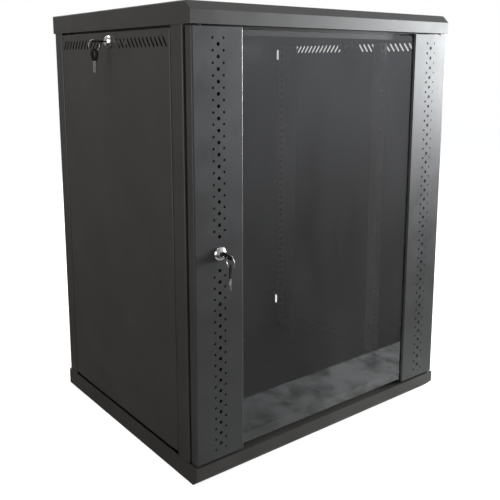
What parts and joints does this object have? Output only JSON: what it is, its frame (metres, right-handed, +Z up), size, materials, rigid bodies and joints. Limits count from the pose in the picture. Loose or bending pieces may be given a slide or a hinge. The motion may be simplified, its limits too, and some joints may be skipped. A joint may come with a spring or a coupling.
{
  "type": "network server rack cabinet",
  "caption": "Black steel wall or floor cabinet for 19 inch network equipment, with a glazed lockable front door, lift-off side panels and depth-adjustable rails.",
  "frame": {"origin": "middle of the base's footprint, on the surface the cabinet stands on", "axes": "+X to the right seen from the front, +Y from the door to the back, +Z up"},
  "size_m": [0.6422, 0.5279, 0.77],
  "materials": {
    "frame_paint": "satin fine-texture powder coat",
    "panel_paint": "satin fine-texture powder coat",
    "rail_paint": "satin powder coat",
    "door_paint": "satin fine-texture powder coat",
    "smoked_glass": "polished, lightly smoked, toughened",
    "tape": "matt foam tape",
    "nylon": "moulded nylon",
    "zinc_steel": "bright zinc plating",
    "lock_chrome": "polished chrome plating",
    "key_plastic": "moulded black bow on a nickel-plated blade",
    "stud_brass": "yellow passivated"
  },
  "bodies": {
    "cabinet": {"roof_cover": "frame_paint", "base_cover": "frame_paint", "post_front_left": "frame_paint", "post_front_right": "frame_paint", "post_rear_left": "frame_paint", "post_rear_right": "frame_paint", "front_top_rail": "frame_paint", "front_bottom_rail": "frame_paint", "side_top_rail_left": "frame_paint", "side_top_rail_right": "frame_paint", "side_bottom_rail_left": "frame_paint", "side_bottom_rail_right": "frame_paint", "back_panel": "panel_paint", "depth_bars_left": "rail_paint", "depth_bars_right": "rail_paint", "cable_covers": "frame_paint", "frame_screws": "zinc_steel", "panel_screws": "zinc_steel", "hinge_bushes": "nylon", "earth_stud": "stud_brass"},
    "door": {"door_strip_left": "door_paint", "door_strip_right": "door_paint", "door_glass": "smoked_glass", "door_glass_tapes": "tape", "door_stiffener_left": "door_paint", "door_stiffener_right": "door_paint", "hinge_bracket_top": "zinc_steel", "hinge_bracket_bottom": "zinc_steel", "hinge_pin_bottom": "zinc_steel", "hinge_spring": "zinc_steel", "door_lock_body": "lock_chrome", "door_lock_nut": "zinc_steel"},
    "top_hinge_pin": {"hinge_pin_top": "zinc_steel"},
    "door_lock": {"door_lock_plug": "lock_chrome", "door_lock_cam": "zinc_steel", "door_key": "key_plastic"},
    "door_ring": {"door_key_ring": "lock_chrome"},
    "door_spare": {"door_spare_key": "key_plastic"},
    "left_panel": {"side_panel_left": "panel_paint", "side_lock_body_left": "lock_chrome", "side_lock_nut_left": "zinc_steel"},
    "left_lock": {"side_lock_plug_left": "lock_chrome", "side_lock_cam_left": "zinc_steel", "side_key_left": "key_plastic"},
    "left_ring": {"side_key_ring_left": "lock_chrome"},
    "left_spare": {"side_spare_key_left": "key_plastic"},
    "right_panel": {"side_panel_right": "panel_paint", "side_lock_body_right": "lock_chrome", "side_lock_nut_right": "zinc_steel"},
    "right_lock": {"side_lock_plug_right": "lock_chrome", "side_lock_cam_right": "zinc_steel"},
    "rail_front_left": {"rail_front_left": "rail_paint", "rail_bolts_front_left": "zinc_steel"},
    "rail_front_right": {"rail_front_right": "rail_paint", "rail_bolts_front_right": "zinc_steel"},
    "rail_rear_left": {"rail_rear_left": "rail_paint", "rail_bolts_rear_left": "zinc_steel"},
    "rail_rear_right": {"rail_rear_right": "rail_paint", "rail_bolts_rear_right": "zinc_steel"}
  },
  "joints": [
    {"name": "door_hinge", "type": "hinge", "parent": "cabinet", "child": "door", "pos_m": [0.289, -0.235, 0.385], "axis": [0, 0, 1], "range_deg": [0, 180]},
    {"name": "hinge_pin_pull", "type": "slide", "parent": "door", "child": "top_hinge_pin", "axis": [0, 0, -1], "range_m": [0, 0.008], "stiffness_N_per_m": 600, "springref_m": -0.004, "deforming": ["hinge_spring"]},
    {"name": "door_lock_turn", "type": "hinge", "parent": "door", "child": "door_lock", "pos_m": [-0.25, -0.244, 0.3855], "axis": [0, 1, 0], "range_deg": [0, 90]},
    {"name": "door_ring_swing", "type": "hinge", "parent": "door_lock", "child": "door_ring", "pos_m": [-0.25, -0.27225, 0.3855], "axis": [0, 1, 0], "range_deg": [-5, 80]},
    {"name": "door_spare_swing", "type": "hinge", "parent": "door_ring", "child": "door_spare", "pos_m": [-0.25, -0.27225, 0.3688], "axis": [0, 1, 0], "range_deg": [-40, 40]},
    {"name": "left_panel_tilt", "type": "hinge", "parent": "cabinet", "child": "left_panel", "pos_m": [-0.298, 0.0125, 0.038], "axis": [0, -1, 0], "range_deg": [0, 25]},
    {"name": "left_lock_turn", "type": "hinge", "parent": "left_panel", "child": "left_lock", "pos_m": [-0.298, 0.0125, 0.716], "axis": [-1, 0, 0], "range_deg": [0, 90]},
    {"name": "left_ring_swing", "type": "hinge", "parent": "left_lock", "child": "left_ring", "pos_m": [-0.32625, 0.0125, 0.716], "axis": [1, 0, 0], "range_deg": [-40, 40]},
    {"name": "left_spare_swing", "type": "hinge", "parent": "left_ring", "child": "left_spare", "pos_m": [-0.32625, 0.0125, 0.6993], "axis": [1, 0, 0], "range_deg": [-40, 40]},
    {"name": "right_panel_tilt", "type": "hinge", "parent": "cabinet", "child": "right_panel", "pos_m": [0.298, 0.0125, 0.038], "axis": [0, 1, 0], "range_deg": [0, 25]},
    {"name": "right_lock_turn", "type": "hinge", "parent": "right_panel", "child": "right_lock", "pos_m": [0.298, 0.0125, 0.716], "axis": [1, 0, 0], "range_deg": [0, 90]},
    {"name": "rail_front_left_slide", "type": "slide", "parent": "cabinet", "child": "rail_front_left", "axis": [0, 1, 0], "range_m": [-0.055, 0.02]},
    {"name": "rail_front_right_slide", "type": "slide", "parent": "cabinet", "child": "rail_front_right", "axis": [0, 1, 0], "range_m": [-0.055, 0.02]},
    {"name": "rail_rear_left_slide", "type": "slide", "parent": "cabinet", "child": "rail_rear_left", "axis": [0, 1, 0], "range_m": [-0.06, 0.015]},
    {"name": "rail_rear_right_slide", "type": "slide", "parent": "cabinet", "child": "rail_rear_right", "axis": [0, 1, 0], "range_m": [-0.06, 0.015]}
  ]
}
